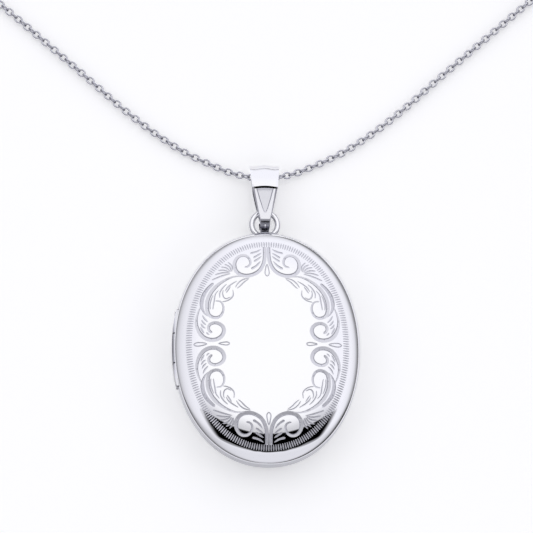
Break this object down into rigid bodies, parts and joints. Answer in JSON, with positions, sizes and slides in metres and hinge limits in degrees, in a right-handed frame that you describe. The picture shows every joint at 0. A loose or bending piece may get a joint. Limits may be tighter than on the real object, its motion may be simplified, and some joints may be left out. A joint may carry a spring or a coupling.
{
  "type": "hinged oval photo locket on a chain",
  "caption": "Oval hinged locket with an engraved foliate front, framed photo inserts, a ring and folded bail, on a fine cable chain with a lobster clasp.",
  "frame": {"origin": "centre of the back cover's flat resting face", "axes": "+Z out of the front cover, +Y towards the bail, the hinge on the -X side"},
  "size_m": [0.0938, 0.0892, 0.0067],
  "materials": {
    "polished_silver": "mirror polished rhodium plate over silver",
    "inner_silver": "polished",
    "chain_silver": "polished cable links",
    "clasp_silver": "polished",
    "pin_steel": "drawn wire",
    "clear_window": "clear acetate sheet",
    "photo_card": "blank card insert"
  },
  "bodies": {
    "back": {"back_shell": "polished_silver", "snap_collar": "inner_silver", "hinge_knuckle_upper": "polished_silver", "hinge_knuckle_lower": "polished_silver", "hinge_pin": "pin_steel", "locket_ring": "polished_silver", "back_photo_frame": "inner_silver", "back_window": "clear_window", "back_photo": "photo_card", "chain_left": "chain_silver", "chain_coil_left": "chain_silver", "chain_tail_left": "chain_silver", "chain_right": "chain_silver", "chain_coil_right": "chain_silver", "chain_tail_right": "chain_silver", "end_ring": "clasp_silver", "clasp_ring": "clasp_silver", "clasp_body": "clasp_silver", "clasp_rivet": "clasp_silver", "clasp_spring": "clasp_silver"},
    "cover": {"front_cover": "polished_silver", "hinge_knuckle_middle": "polished_silver", "front_photo_frame": "inner_silver", "front_window": "clear_window", "front_photo": "photo_card"},
    "bail": {"bail": "polished_silver", "chain_middle": "chain_silver"},
    "clasp_lever": {"clasp_lever": "clasp_silver"}
  },
  "joints": [
    {"name": "cover_hinge", "type": "hinge", "parent": "back", "child": "cover", "pos_m": [-0.01283, 0, 0.00333], "axis": [0, -1, 0], "range_deg": [0, 120]},
    {"name": "bail_swing", "type": "hinge", "parent": "back", "child": "bail", "pos_m": [0, 0.02084, 0.0025], "axis": [1, 0, 0], "range_deg": [0, 30]},
    {"name": "clasp_lever_pivot", "type": "hinge", "parent": "back", "child": "clasp_lever", "pos_m": [0.02019, 0.06686, 0.00092], "axis": [0, 0, -1], "range_deg": [0, 25], "stiffness_Nm_per_rad": 0.0002, "springref_deg": -11.46}
  ]
}
